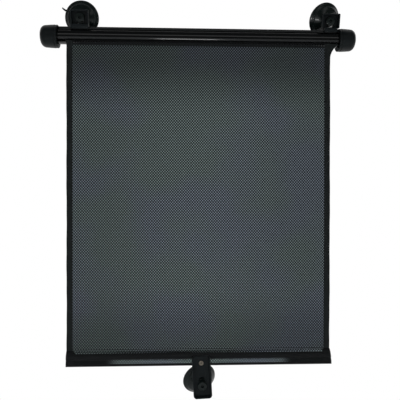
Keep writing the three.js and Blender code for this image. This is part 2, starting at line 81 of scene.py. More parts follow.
# Shade fabric: the net, its side bindings and the pocket at its lower end
SLOT_MIDDLE = math.radians((SLOT_FROM + SLOT_TO) / 2)
PANEL_Y = math.cos(SLOT_MIDDLE) * TUBE_R
SLOT_Z = math.sin(SLOT_MIDDLE) * TUBE_R
PANEL_HALF = 200.0
CELL_W, CELL_H = 3.96, 4.4
HOLE_W, HOLE_H = 1.96, 2.16
TAPE_WIDTH = 8.5
BAR_H, BAR_T = 13.4, 5.4
BAR_SEEN = 8.8
BAR_LENGTH = 398.0
BAR_Z = -482.7
POCKET_TOP = -475.25
BOTTOM_Z = -500.0
HEM_HALF = 201.5
ROLLER_R = 5.0

# Stitches: the thread, the distance from one stitch to the next, and the two seams under the bar
THREAD_R = 0.22
STITCH_LENGTH = 2.3
STITCH_PITCH = 3.1
HEM_SEAMS = {"upper": -490.6, "lower": -498.4}
HEM_STITCHES = 129

# Pull tab, rivet and the necks of the cups
RIVET_X, RIVET_Z = 2.6, -494.7
TAB_BACK = PANEL_Y - BAR_T / 2 - 0.75 - 0.3
TAB_SWING = math.radians(3)
TAB_CUP_Z = -34.3
NECK_R = 4.1


# Helpers for modelling
def clear_selection():
    """Deselect every object."""
    for item in bpy.context.selected_objects:
        item.select_set(False)


def active(piece):
    """Select one piece alone and make it the active one."""
    clear_selection()
    piece.select_set(True)
    bpy.context.view_layer.objects.active = piece
    return piece


def added(name):
    """The primitive just added, named, and in edit mode."""
    piece = bpy.context.active_object
    piece.name = piece.data.name = name
    active(piece)
    bpy.ops.object.mode_set(mode="EDIT")
    return piece


def pick(kind, test):
    """In edit mode: select only the vertices, edges or faces that pass the test."""
    bpy.ops.mesh.select_all(action="DESELECT")
    bpy.ops.mesh.select_mode(type=kind)
    form = bmesh.from_edit_mesh(bpy.context.edit_object.data)
    for item in {"VERT": form.verts, "EDGE": form.edges, "FACE": form.faces}[kind]:
        if test(item):
            item.select_set(True)
    bmesh.update_edit_mesh(bpy.context.edit_object.data)


def done(piece, angle=35.0):
    """Leave edit mode with clean doubles, outward faces and smooth shading by angle."""
    if bpy.context.mode == "OBJECT":
        active(piece)
        bpy.ops.object.mode_set(mode="EDIT")
    bpy.ops.mesh.select_all(action="SELECT")
    bpy.ops.mesh.remove_doubles(threshold=2e-6)
    bpy.ops.mesh.normals_make_consistent(inside=False)
    bpy.ops.object.mode_set(mode="OBJECT")
    active(piece)
    bpy.ops.object.shade_smooth_by_angle(angle=math.radians(angle))
    return piece


def modifier(piece, kind, **values):
    """Add a modifier and apply it at once."""
    active(piece)
    if bpy.context.mode != "OBJECT":
        bpy.ops.object.mode_set(mode="OBJECT")
    made = piece.modifiers.new(kind.lower(), kind)
    for key, value in values.items():
        setattr(made, key, value)
    bpy.ops.object.modifier_apply(modifier=made.name)
    return piece


def rounded(piece, width, segments=2, angle=40.0):
    """Bevel every edge that is sharper than the angle."""
    return modifier(piece, "BEVEL", width=width * MM, segments=segments, limit_method="ANGLE",
                    angle_limit=math.radians(angle), harden_normals=False)


def cut(piece, tool, operation="DIFFERENCE"):
    """Cut the tool out of the piece, or join it on, and remove the tool."""
    modifier(piece, "BOOLEAN", object=tool, operation=operation, solver="EXACT")
    bpy.data.objects.remove(tool, do_unlink=True)
    return piece


def settle(piece, place=None):
    """Put a finished piece in its place in the frame, with its object at the origin."""
    if bpy.context.mode != "OBJECT":
        bpy.ops.object.mode_set(mode="OBJECT")
    active(piece)
    if place is not None:
        piece.matrix_world = place @ piece.matrix_world
    bpy.ops.object.transform_apply(location=True, rotation=True, scale=True)
    return piece


def arc(x, y, radius, start, end, count):
    """Points on an arc, angles in degrees."""
    return [(x + radius * math.cos(math.radians(start + (end - start) * i / count)),
             y + radius * math.sin(math.radians(start + (end - start) * i / count)))
            for i in range(count + 1)]


def turned(name, profile, steps=72, closed=False):
    """Turn a profile of (radius, height) pairs about Z: points are extruded on, then spun."""
    bpy.ops.mesh.primitive_plane_add(size=2 * MM, location=(0, 0, 0))
    piece = added(name)
    pick("VERT", lambda v: v.co.x < 0 or v.co.y < 0)
    bpy.ops.mesh.delete(type="VERT")
    bpy.ops.mesh.select_all(action="SELECT")
    here = Vector((MM, MM, 0))
    first = Vector((profile[0][0] * MM, 0, profile[0][1] * MM))
    bpy.ops.transform.translate(value=first - here)
    for (r0, h0), (r1, h1) in zip(profile, profile[1:]):
        step = ((r1 - r0) * MM, 0, (h1 - h0) * MM)
        bpy.ops.mesh.extrude_region_move(TRANSFORM_OT_translate={"value": step})
    if closed:
        bpy.ops.mesh.select_all(action="SELECT")
        bpy.ops.mesh.remove_doubles(threshold=2e-6)
    bpy.ops.mesh.select_all(action="SELECT")
    bpy.ops.mesh.spin(steps=steps, angle=TURN, center=(0, 0, 0), axis=(0, 0, 1))
    return done(piece)


def block(name, low, high):
    """A box from one corner to the other, left in edit mode, to be worked on."""
    size = [(b - a) * MM for a, b in zip(low, high)]
    centre = [(a + b) / 2 * MM for a, b in zip(low, high)]
    bpy.ops.mesh.primitive_cube_add(size=1, location=centre, scale=size)
    piece = bpy.context.active_object
    active(piece)
    bpy.ops.object.transform_apply(location=True, rotation=True, scale=True)
    return added(name)


def bevel_edges(test, width, segments):
    """In edit mode: bevel the edges that pass the test."""
    pick("EDGE", test)
    bpy.ops.mesh.bevel(offset=width * MM, segments=segments, affect="EDGES")


def along(axis, edge):
    """True for an edge that runs along X, Y or Z (0, 1, 2)."""
    run = edge.verts[1].co - edge.verts[0].co
    return abs(run[axis]) > 0.999 * run.length


def rod(name, section, start, end, axis, steps):
    """A plain round cutter or pin, start to end along X or Y. section is (radius, a, b), with the
    centre (a, b) across that axis."""
    radius, a, b = section
    length, halfway = end - start, (start + end) / 2
    centre = {"X": (halfway, a, b), "Y": (a, halfway, b)}[axis]
    turn = {"X": (0, TURN / 4, 0), "Y": (TURN / 4, 0, 0)}[axis]
    bpy.ops.mesh.primitive_cylinder_add(vertices=steps, radius=radius * MM, depth=length * MM,
                                        location=[c * MM for c in centre], rotation=turn)
    piece = bpy.context.active_object
    piece.name = name
    active(piece)
    bpy.ops.object.transform_apply(location=True, rotation=True, scale=True)
    return piece


def joined(name, *pieces):
    """Join the pieces on to the first one, under a new name."""
    active(pieces[0])
    for piece in pieces:
        piece.select_set(True)
    bpy.ops.object.join()
    whole = bpy.context.active_object
    whole.name = whole.data.name = name
    return whole


def from_grid(name, points, faces):
    """A sheet built by hand from its points and faces."""
    mesh = bpy.data.meshes.new(name)
    mesh.vertices.add(len(points))
    mesh.vertices.foreach_set("co", np.asarray(points, np.float32).ravel())
    faces = [np.asarray(part, np.int32) for part in faces]
    sizes = np.concatenate([np.full(len(part), part.shape[1], np.int32) for part in faces])
    corners = np.concatenate([part.ravel() for part in faces])
    mesh.loops.add(len(corners))
    mesh.loops.foreach_set("vertex_index", corners)
    mesh.polygons.add(len(sizes))
    mesh.polygons.foreach_set("loop_start", np.concatenate([[0], np.cumsum(sizes)[:-1]]))
    mesh.polygons.foreach_set("loop_total", sizes)
    mesh.update(calc_edges=True)
    mesh.validate()
    piece = bpy.data.objects.new(name, mesh)
    bpy.context.scene.collection.objects.link(piece)
    return piece


# Materials: effects used by several finishes are node groups
def effect(name, inputs, outputs):
    """A shader node group with named sockets; gives the tree, its input and its output node."""
    tree = bpy.data.node_groups.new(name, "ShaderNodeTree")
    for label, kind, value in inputs:
        socket = tree.interface.new_socket(label, in_out="INPUT", socket_type=kind)
        if value is not None:
            socket.default_value = value
    for label, kind in outputs:
        tree.interface.new_socket(label, in_out="OUTPUT", socket_type=kind)
    return tree, tree.nodes.new("NodeGroupInput"), tree.nodes.new("NodeGroupOutput")


def node(tree, kind, links=(), **values):
    """Add a node, set its properties and plain sockets, and link its inputs."""
    made = tree.nodes.new(kind)
    for key, value in values.items():
        if hasattr(made, key) and not key[0].isupper():
            setattr(made, key, value)
        else:
            made.inputs[key.replace("_", " ")].default_value = value
    for socket, source in dict(links).items():
        tree.links.new(source, made.inputs[socket])
    return made


def maths(tree, operation, a, b=None):
    """A maths node on numbers or sockets; gives its output."""
    made = tree.nodes.new("ShaderNodeMath")
    made.operation = operation
    for i, value in enumerate((a, b)):
        if value is None:
            continue
        if isinstance(value, (int, float)):
            made.inputs[i].default_value = value
        else:
            tree.links.new(value, made.inputs[i])
    return made.outputs[0]


def spread(tree, value, low, high, to_low, to_high, smooth=False):
    """Map a value from one range to another, clamped."""
    made = node(tree, "ShaderNodeMapRange", {"Value": value},
                interpolation_type="SMOOTHSTEP" if smooth else "LINEAR")
    limits = {"From Min": low, "From Max": high, "To Min": to_low, "To Max": to_high}
    for socket, number in limits.items():
        made.inputs[socket].default_value = number
    return made.outputs["Result"]


def moulded_grain():
    """Fine spark-eroded grain of a mould, with slow tone patches and a few settled specks."""
    tree, feed, out = effect(
        "moulded_grain",
        [("Vector", "NodeSocketVector", None), ("Scale", "NodeSocketFloat", 1600.0)],
        [("Height", "NodeSocketFloat"), ("Patches", "NodeSocketFloat"), ("Specks", "NodeSocketFloat")])
    place = feed.outputs["Vector"]
    fine = node(tree, "ShaderNodeTexNoise", {"Vector": place, "Scale": feed.outputs["Scale"]},
                Detail=3.0, Roughness=0.6)
    wide = node(tree, "ShaderNodeTexNoise", {"Vector": place}, Scale=55.0, Detail=3.0)
    dots = node(tree, "ShaderNodeTexVoronoi", {"Vector": place}, Scale=320.0, Randomness=1.0)
    tree.links.new(fine.outputs["Fac"], out.inputs["Height"])
    tree.links.new(spread(tree, wide.outputs["Fac"], 0.35, 0.65, 0.0, 1.0), out.inputs["Patches"])
    gate = spread(tree, wide.outputs["Fac"], 0.5, 0.62, 0.0, 1.0)
    spots = spread(tree, dots.outputs["Distance"], 0.05, 0.16, 1.0, 0.0)
    tree.links.new(maths(tree, "MULTIPLY", spots, gate), out.inputs["Specks"])
    return tree


def drawn_lines():
    """Long fine lines left by drawing, rolling or extruding, along the vector's X."""
    tree, feed, out = effect(
        "drawn_lines",
        [("Vector", "NodeSocketVector", None), ("Across", "NodeSocketFloat", 900.0)],
        [("Height", "NodeSocketFloat"), ("Lines", "NodeSocketFloat")])
    parts = node(tree, "ShaderNodeSeparateXYZ", {"Vector": feed.outputs["Vector"]})
    stretched = node(tree, "ShaderNodeCombineXYZ", {
        "X": maths(tree, "MULTIPLY", parts.outputs["X"], 6.0),
        "Y": maths(tree, "MULTIPLY", parts.outputs["Y"], feed.outputs["Across"]),
        "Z": maths(tree, "MULTIPLY", parts.outputs["Z"], feed.outputs["Across"])})
    lines = node(tree, "ShaderNodeTexNoise", {"Vector": stretched.outputs["Vector"]},
                 Scale=1.0, Detail=2.0)
    tree.links.new(lines.outputs["Fac"], out.inputs["Height"])
    tree.links.new(spread(tree, lines.outputs["Fac"], 0.3, 0.7, 0.0, 1.0), out.inputs["Lines"])
    return tree


def spun_yarn():
    """Fine twisted filaments crossing each other, for net, binding and sewing thread."""
    tree, feed, out = effect(
        "spun_yarn",
        [("Vector", "NodeSocketVector", None), ("Scale", "NodeSocketFloat", 700.0)],
        [("Height", "NodeSocketFloat"), ("Tone", "NodeSocketFloat")])
    place = feed.outputs["Vector"]
    waves = []
    for direction, profile in (("X", "SIN"), ("Z", "TRI")):
        wave = node(tree, "ShaderNodeTexWave", {"Vector": place, "Scale": feed.outputs["Scale"]},
                    wave_type="BANDS", bands_direction=direction, wave_profile=profile,
                    Distortion=2.5, Detail=2.0)
        wave.inputs["Detail Scale"].default_value = 1.6
        waves.append(wave.outputs["Fac"])
    fuzz = node(tree, "ShaderNodeTexNoise", {"Vector": place}, Scale=180.0, Detail=4.0)
    tree.links.new(maths(tree, "MULTIPLY", waves[0], waves[1]), out.inputs["Height"])
    tree.links.new(spread(tree, fuzz.outputs["Fac"], 0.3, 0.7, 0.0, 1.0), out.inputs["Tone"])
    return tree


GRAIN, LINES, YARN = moulded_grain(), drawn_lines(), spun_yarn()
DUST = (0.16, 0.16, 0.15, 1)
SHINE = 0.22


def finish_of(name, group, scale, dark, light, rough, bump, metallic=0.0, specks=0.0, turn=None, **sockets):
    """One finish: an effect group drives its colour, roughness and bump; the rest are plain sockets.
    The second output of each effect is its tone, from the dark colour to the light one."""
    material = bpy.data.materials.new(name)
    material.use_nodes = True
    tree = material.node_tree
    shader = tree.nodes["Principled BSDF"]
    shader.inputs["Metallic"].default_value = metallic
    shader.inputs["Specular IOR Level"].default_value = SHINE
    for socket, value in sockets.items():
        shader.inputs[socket.replace("_", " ")].default_value = value
    place = node(tree, "ShaderNodeTexCoord").outputs["Object"]
    if turn is not None:
        place = node(tree, "ShaderNodeMapping", {"Vector": place}, Rotation=turn).outputs["Vector"]
    worked = node(tree, "ShaderNodeGroup", node_tree=group)
    tree.links.new(place, worked.inputs["Vector"])
    worked.inputs[1].default_value = scale
    tone = worked.outputs[1]
    mix = node(tree, "ShaderNodeMix", {"Factor": tone}, data_type="RGBA")
    mix.inputs["A"].default_value = (*dark, 1)
    mix.inputs["B"].default_value = (*light, 1)
    colour = mix.outputs["Result"]
    if specks:
        dusty = node(tree, "ShaderNodeMix", {"A": colour}, data_type="RGBA")
        tree.links.new(maths(tree, "MULTIPLY", worked.outputs["Specks"], specks), dusty.inputs["Factor"])
        dusty.inputs["B"].default_value = DUST
        colour = dusty.outputs["Result"]
    tree.links.new(colour, shader.inputs["Base Color"])
    tree.links.new(spread(tree, tone, 0.0, 1.0, rough[0], rough[1]), shader.inputs["Roughness"])
    relief = node(tree, "ShaderNodeBump", {"Height": worked.outputs["Height"]},
                  Distance=bump * MM, Strength=0.6)
    tree.links.new(relief.outputs["Normal"], shader.inputs["Normal"])
    return material


CASE = finish_of("case_gloss_black", LINES, 700, (0.0012, 0.0014, 0.0015), (0.0026, 0.003, 0.0032),
                 rough=(0.09, 0.14), bump=0.003, Specular_IOR_Level=0.5)
CAP = finish_of("cap_satin_black", GRAIN, 2200, (0.0022, 0.0042, 0.0046), (0.0044, 0.0068, 0.0074),
                rough=(0.42, 0.5), bump=0.02, specks=0.15)
BRACKET = finish_of("bracket_satin_black", GRAIN, 2600, (0.0022, 0.0044, 0.0054), (0.0040, 0.0070, 0.0082),
                    rough=(0.34, 0.42), bump=0.015, specks=0.15)
CUP = finish_of("cup_smoked_vinyl", GRAIN, 500, (0.0030, 0.0058, 0.0052), (0.0052, 0.0092, 0.0084),
                rough=(0.2, 0.3), bump=0.01, specks=0.2, Coat_Weight=0.25, Coat_Roughness=0.12)
NET = finish_of("net_black_yarn", YARN, 900, (0.0014, 0.0018, 0.0022), (0.004, 0.0048, 0.0058),
                rough=(0.55, 0.7), bump=0.05, Sheen_Weight=0.04, Sheen_Roughness=0.5)
TAPE = finish_of("binding_black_weave", YARN, 420, (0.0045, 0.0062, 0.0062), (0.0095, 0.0125, 0.0125),
                 rough=(0.5, 0.65), bump=0.12, Sheen_Weight=0.06, Sheen_Roughness=0.4)
THREAD = finish_of("sewing_thread_black", YARN, 1500, (0.006, 0.007, 0.008), (0.016, 0.018, 0.02),
                   rough=(0.35, 0.5), bump=0.05, turn=(0, math.radians(40), 0))
BAR = finish_of("bar_black_plastic", LINES, 500, (0.004, 0.0045, 0.005), (0.008, 0.0085, 0.009),
                rough=(0.3, 0.42), bump=0.01)
INNER = finish_of("inner_ivory_plastic", GRAIN, 1500, (0.6, 0.6, 0.56), (0.68, 0.68, 0.63),
                  rough=(0.4, 0.5), bump=0.02, specks=0.3)
STEEL = finish_of("spring_drawn_steel", LINES, 1200, (0.33, 0.34, 0.35), (0.45, 0.46, 0.47),
                  rough=(0.25, 0.4), bump=0.01, metallic=1.0)
ALLOY = finish_of("roller_rolled_metal", LINES, 900, (0.5, 0.51, 0.52), (0.62, 0.63, 0.64),
                  rough=(0.25, 0.4), bump=0.01, metallic=1.0)
RIVET = finish_of("rivet_warm_metal", GRAIN, 1800, (0.30, 0.25, 0.20), (0.46, 0.40, 0.33),
                  rough=(0.28, 0.42), bump=0.012, metallic=1.0)


def paint(piece, material):
    """Give a piece its finish."""
    piece.data.materials.clear()
    piece.data.materials.append(material)
    return piece


# Inner pieces that stay as they are in the frame, and their finishes
CAD_FINISHES = {
    "spring_spindle": STEEL, "spring_anchor": INNER, "torsion_spring": STEEL, "roller_tube": ALLOY,
    "roller_plug_left": INNER, "roller_plug_right": INNER, "roller_bush": INNER, "fabric_clamp_strip": BAR,
}
for label, material in CAD_FINISHES.items():
    carried = frame["nodes"][label]
    if not carried.material_slots:
        carried.data.materials.append(material)
    for place in carried.material_slots:
        place.material = material


# Case: extruded tube with a slot at its lower front and a T-rail on top
def rail_bar(name, half, grow=0.0):
    """The T-section of the rail, upright, grown by a clearance when it is used as a cutter."""
    under = TUBE_R + RAIL_RISE - grow
    top = TUBE_R + RAIL_RISE + RAIL_HEAD[1] + grow
    stem = RAIL_STEM / 2 + grow
    piece = block(name, (-half, -stem, TUBE_R - TUBE_WALL / 2), (half, stem, top))
    bpy.ops.mesh.select_all(action="SELECT")
    bpy.ops.mesh.bisect(plane_co=(0, 0, under * MM), plane_no=(0, 0, 1))
    pick("FACE", lambda f: abs(f.normal.y) > 0.9 and f.calc_center_median().z > under * MM)
    reach = RAIL_HEAD[0] / 2 + grow - stem
    bpy.ops.mesh.extrude_region_shrink_fatten(TRANSFORM_OT_shrink_fatten={"value": reach * MM})
    return done(piece)


def case_shell():
    """The tube with its slot between two rounded lips, and the rail joined on."""
    bpy.ops.mesh.primitive_cylinder_add(vertices=144, radius=TUBE_R * MM, depth=2 * TUBE_HALF * MM,
                                        end_fill_type="NOTHING", rotation=(0, TURN / 4, 0))
    active(bpy.context.active_object)
    bpy.ops.object.transform_apply(location=True, rotation=True, scale=True)
    shell = added("case_shell")

    def in_slot(face):
        spot = face.calc_center_median()
        return SLOT_FROM < math.degrees(math.atan2(spot.z, spot.y)) % 360 < SLOT_TO

    pick("FACE", in_slot)
    bpy.ops.mesh.delete(type="FACE")
    done(shell)
    modifier(shell, "SOLIDIFY", thickness=TUBE_WALL * MM, offset=-1.0)
    reach = TUBE_R - TUBE_WALL / 2
    for angle in (SLOT_FROM, SLOT_TO):
        spot = [reach * math.cos(math.radians(angle)), reach * math.sin(math.radians(angle))]
        cut(shell, rod("lip", (SLOT_LIP, *spot), -TUBE_HALF, TUBE_HALF, "X", 24), "UNION")
    rail = rail_bar("rail", TUBE_HALF)
    rounded(rail, 0.22, 2)
    settle(rail, Matrix.Rotation(RAIL_LEAN, 4, "X"))
    cut(shell, rail, "UNION")
    done(shell, 30)
    settle(shell)
    paint(shell, CASE)
    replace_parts(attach(shell, "root"), "cassette_tube")


def end_cap(side):
    """Domed cap: outer face at height 0, socket for the tube behind it, collar groove near the mouth."""
    bore, floor = (1.7, 0.0) if side > 0 else (2.3, 2.5)
    outline = [(bore if side > 0 else 0.0, 0.0), (7.2, 0.0)]
    outline += arc(8.0, 8.4, 8.4, -90, 0, 14)
    outline += [(16.9, 15.0), (17.2, 21.6)]
    outline += [(17.05, 21.85), (16.6, 21.95), (16.6, 22.95), (17.0, 23.1)]
    outline += [(17.05, 25.3), (16.9, 25.75), (16.5, 26.0), (12.2, 26.0), (11.8, 25.7), (11.7, 25.2)]
    outline += [(11.7, 8.0), (9.5, 8.0), (9.5, 3.5), (5.0, 3.5), (5.0, 8.7), (4.7, 9.0), (bore, 9.0)]
    outline += [(bore, floor)] + ([(0.0, floor)] if side < 0 else [])
    cap = turned("end_cap_skin_" + ("right" if side > 0 else "left"), outline, 96, closed=side > 0)
    outward = Matrix.Rotation(-side * TURN / 4, 4, "Y")
    settle(cap, Matrix.Translation((side * CASE_HALF * MM, 0, 0)) @ outward)
    notch = rail_bar("notch", NOTCH_HALF, RAIL_SLACK)
    settle(notch, Matrix.Translation((side * NOTCH_X * MM, 0, 0)) @ Matrix.Rotation(RAIL_LEAN, 4, "X"))
    cut(cap, notch)
    done(cap, 32)
    settle(cap)
    paint(cap, CAP)
    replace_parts(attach(cap, "root"), "end_cap_" + ("right" if side > 0 else "left"))


# Cups and what holds them
def bezier(a, b, c, count):
    """Points on a curve from a to c that bends towards b, without the first one."""
    return [tuple((1 - t) ** 2 * p + 2 * t * (1 - t) * q + t * t * r for p, q, r in zip(a, b, c))
            for t in (i / count for i in range(1, count + 1))]


def suction_cup(name, node_name, body, place, tongue_angle, turn=0.0, lean=0.0):
    """Head in front, neck through its plate, and a dish that opens toward the glass. The dish can
    stand turned and leaned on its soft neck."""
    bend = 9.0 * math.sin(math.radians(turn + lean))
    dish_line = [(0.0, 0.0), (8.0, 0.0)] + bezier((8.0, 0.0), (9.0, 0.0), (9.6, 1.6), 5)
    dish_line += bezier((9.6, 1.6), (11.6, 5.4), (19.6, 9.6), 10)
    dish_line += [(20.0, 9.5), (20.5, 9.75), (20.7, 10.2)]
    dish_line += bezier((20.7, 10.2), (22.6, 11.4), (23.6, 12.5), 4)
    dish_line += bezier((23.6, 12.5), (25.9, 13.4), (26.0, 14.6), 5) + [(25.8, 15.0), (24.2, 15.0)]
    dish_line += bezier((24.2, 15.0), (12.0, 5.4), (0.0, 5.0), 18)
    dish = turned("dish", dish_line, 96)
    tongue = block("tongue", (24.4, -1.5, 13.3), (32.4, 1.5, 14.7))
    bpy.ops.mesh.subdivide(number_cuts=6)
    done(tongue)
    for vertex in tongue.data.vertices:
        ahead = max(0.0, vertex.co.x / MM - 26.0)
        vertex.co.y *= 1.0 - 0.05 * ahead
        vertex.co.y += 0.035 * ahead * ahead * MM
        vertex.co.z -= 0.02 * ahead * ahead * MM
    rounded(tongue, 0.35, 2, 50)
    settle(tongue, Matrix.Rotation(-math.radians(tongue_angle), 4, "Z"))
    cut(dish, tongue, "UNION")
    across = Matrix.Rotation(-TURN / 4, 4, "X")
    swing = Matrix.Rotation(math.radians(turn), 4, "Z") @ Matrix.Rotation(math.radians(lean), 4, "X")
    settle(dish, Matrix.Translation((0, bend * MM, 0)) @ swing @ across)
    stud_line = [(0.0, -3.2), (1.5, -3.2), (1.8, -3.6), (1.9, -6.2), (2.3, -6.6), (6.0, -6.6)]
    stud_line += arc(6.0, -5.6, 1.0, -90, 0, 6) + [(7.0, -3.4), (6.8, -3.0), (6.2, -2.6), (3.8, -2.6)]
    stud_line += [(3.8, bend + 1.8), (0.0, bend + 1.8)]
    stud = turned("stud", stud_line, 64)
    settle(stud, across)
    cut(dish, stud, "UNION")
    dish.name = dish.data.name = name
    done(dish, 40)
    settle(dish, place)
    paint(dish, CUP)
    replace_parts(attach(dish, body), node_name)


def keyhole(piece, seat_z, entry_z, entry_r, back, front):
    """Neck slot with a wider entry beside the seat."""
    low, high = sorted((seat_z, entry_z))
    cut(piece, rod("seat", (NECK_R, 0, seat_z), front, back, "Y", 40))
    cut(piece, rod("entry", (entry_r, 0, entry_z), front, back, "Y", 40))
    lane = block("lane", (-NECK_R + 0.02, front, low), (NECK_R - 0.02, back, high))
    done(lane)
    cut(piece, lane)


def lengthened(name, low, high, edge_radius, segments):
    """A block with its four edges along Y rounded, in object mode."""
    piece = block(name, low, high)
    bevel_edges(lambda e: along(1, e), edge_radius, segments)
    return done(piece)


def top_bracket(side, x, foot_width):
    """Tray open to the front on a foot that grips the rail's head, leaning with the rail. Gives the
    place of its cup."""
    half, front, back = 13.5, -3.4, 6.6
    low, floor, top, seat = 17.5, 18.7, 39.1, 28.2
    tray = lengthened("tray_" + side, (-half, front, low), (half, back, top), 1.6, 5)
    cut(tray, lengthened("hollow", (-half + 2, front - 3, floor), (half - 2, back - 2, top - 2), 0.8, 4))
    rounded(tray, 0.4, 3, 50)
    foot = block("foot", (-foot_width / 2, -6.6, 11.85), (foot_width / 2, 6.6, floor))
    bevel_edges(lambda e: along(0, e) or along(2, e), 0.9, 3)
    done(foot)
    cut(tray, foot, "UNION")
    cut(tray, rail_bar("rail_space", half + 2, RAIL_SLACK))
    keyhole(tray, seat, seat - 5.8, 4.8, back + 1, back - 4.0)
    done(tray, 32)
    place = Matrix.Translation((x * MM, 0, 0)) @ Matrix.Rotation(RAIL_LEAN, 4, "X")
    settle(tray, place)
    paint(tray, BRACKET)
    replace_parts(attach(tray, "bracket_" + side), "top_bracket_" + side)
    return place @ Matrix.Translation((0, 6.9 * MM, seat * MM))


def pull_tab(place):
    """Shallow tray with three flanges and a boss behind its rivet hole."""
    tab = lengthened("tab_tray", (-14, -7, -52.6), (14, 0, 10.7), 5.0, 10)
    hollow = lengthened("hollow", (-12, -9, -50.6), (12, -2, 20), 3.2, 8)
    cut(tab, hollow)
    rounded(tab, 0.45, 3, 50)
    boss = turned("boss", [(0, -1.0), (4.6, -1.0), (4.6, 2.6), (4.3, 2.9), (0, 2.9)], 48)
    settle(boss, Matrix.Rotation(-TURN / 4, 4, "X"))
    cut(tab, boss, "UNION")
    cut(tab, rod("pivot", (2.4, 0, 0), -8, 5, "Y", 40))
    keyhole(tab, TAB_CUP_Z, -26.3, 5.2, 1, -3)
    tab.name = tab.data.name = "tab_tray"
    done(tab, 32)
    settle(tab, place)
    paint(tab, BRACKET)
    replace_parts(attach(tab, "tab"), "pull_tab")


def rivet_and_washer():
    """Hollow rivet through the tab and the seam strip, and the washer at the fabric's back."""
    head = TAB_BACK - 2.0 - 0.3 - PANEL_Y
    back = 0.45 + 0.8 + 0.2
    line = [(1.2, head - 0.2), (1.35, head - 0.65), (1.8, head - 0.9), (2.5, head - 0.9),
            (3.15, head - 0.7), (3.5, head - 0.25), (3.42, head), (2.1, head),
            (2.1, back + 0.1), (3.2, back + 0.1), (3.15, back + 0.6), (2.4, back + 0.9),
            (1.6, back + 0.85), (1.2, back + 0.3), (1.2, head - 0.2)]
    place = (Matrix.Translation((RIVET_X * MM, PANEL_Y * MM, RIVET_Z * MM))
             @ Matrix.Rotation(-TURN / 4, 4, "X"))
    rivet = turned("rivet_skin", line, 64, closed=True)
    settle(rivet, place)
    ring_line = [(2.2, 0.55), (4.3, 0.55), (4.5, 0.7), (4.5, 1.1), (4.3, 1.32), (2.5, 1.35),
                 (2.2, 1.2), (2.2, 0.55)]
    ring = turned("washer_skin", ring_line, 64, closed=True)
    settle(ring, place)
    for piece, stood_for in ((rivet, "rivet"), (ring, "rivet_washer")):
        paint(piece, RIVET)
        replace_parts(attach(piece, "bar"), stood_for)


def bar_strip():
    """Oval bar that lies low in its pocket."""
    bpy.ops.mesh.primitive_cylinder_add(vertices=64, radius=BAR_SEEN / 2 * MM, depth=BAR_LENGTH * MM,
                                        location=(0, 0, 0), rotation=(0, TURN / 4, 0))
    active(bpy.context.active_object)
    bpy.ops.object.transform_apply(location=True, rotation=True, scale=True)
    bar = added("bar_strip")
    bpy.ops.mesh.select_all(action="SELECT")
    bpy.ops.transform.resize(value=(1, BAR_T / BAR_SEEN, 1))
    done(bar)
    rounded(bar, 0.6, 3, 50)
    settle(bar, Matrix.Translation((0, PANEL_Y * MM, (BAR_Z - (BAR_H - BAR_SEEN) / 2) * MM)))
    done(bar, 40)
    paint(bar, BAR)
    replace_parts(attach(bar, "bar"), "bottom_bar")


# Fabric: an open net of staggered six-sided holes, built by hand as a sheet
def net(name, columns, rows, start, edge_x, low, high, place):
    """Strands between staggered holes: row j is at start + j * CELL_H / 2, every other row set over
    by half a cell. place turns (across, up) into points; the holes past each edge are drawn in to it."""
    hx, hy = HOLE_W / 2, HOLE_H / 2
    corner = np.array([(0, hy), (hx, hy / 2), (hx, -hy / 2), (0, -hy), (-hx, -hy / 2), (-hx, hy / 2)])
    i, j = np.meshgrid(np.arange(-1, columns + 1), np.arange(-1, rows + 1), indexing="ij")
    cx = (i - (columns - 1) / 2 + np.where(j % 2 == 0, -0.25, 0.25)) * CELL_W
    cz = start + j * CELL_H / 2
    grid = np.stack([cx[..., None] + corner[:, 0], cz[..., None] + corner[:, 1]], -1)
    grid[0, :, :, 0], grid[-1, :, :, 0] = -edge_x, edge_x
    grid[:, 0, :, 1], grid[:, -1, :, 1] = low, high
    index = np.arange(grid[..., 0].size).reshape(grid.shape[:3])
    T, UR, LR, B, LL, UL = range(6)
    quads, threes = [], []
    this, right = index[:-1], index[1:]
    quads.append(np.stack([this[..., UR], this[..., LR], right[..., LL], right[..., UL]], -1))
    for row in range(rows + 2):
        shift = 0 if (row - 1) % 2 == 0 else 1
        for step, (a, b, c, d) in ((1, (UR, T, LL, B)), (-1, (B, LR, T, UL))):
            if not 0 <= row + step < rows + 2:
                continue
            here, there = index[:, row], index[:, row + step]
            here, there = (here, there) if shift == 0 else (here[:-1], there[1:])
            quads.append(np.stack([here[:, a], here[:, b], there[:, c], there[:, d]], -1)[:, None])
            side_a, side_b, side_c = (UR, UL, B) if step == 1 else (LR, LL, T)
            this, right = index[:-1, row], index[1:, row]
            over = index[:-1, row + step] if shift == 0 else index[1:, row + step]
            threes.append(np.stack([this[:, side_a], right[:, side_b], over[:, side_c]], -1)[:, None])
    quads = np.concatenate([part.reshape(-1, 4) for part in quads])
    threes = np.concatenate([part.reshape(-1, 3) for part in threes])
    flat = grid.reshape(-1, 2)

    def solid_faces(faces):
        """Leave out the faces with no area, turn the rest one way, and give their whole area."""
        p = flat[faces]
        n = faces.shape[1]
        area = sum(p[:, k, 0] * p[:, (k + 1) % n, 1] - p[:, (k + 1) % n, 0] * p[:, k, 1]
                   for k in range(n)) / 2
        faces = faces[np.abs(area) > 1e-3]
        area = area[np.abs(area) > 1e-3]
        faces[area < 0] = faces[area < 0][:, ::-1]
        return faces, np.abs(area).sum()

    quads, quad_area = solid_faces(quads)
    threes, three_area = solid_faces(threes)
    points = place(flat[:, 0], flat[:, 1]) * MM
    piece = from_grid(name, points, [quads, threes])
    active(piece)
    bpy.ops.object.mode_set(mode="EDIT")
    bpy.ops.mesh.select_all(action="SELECT")
    bpy.ops.mesh.delete_loose()
    bpy.ops.object.mode_set(mode="OBJECT")
    return piece, (quad_area + three_area) * MM * MM


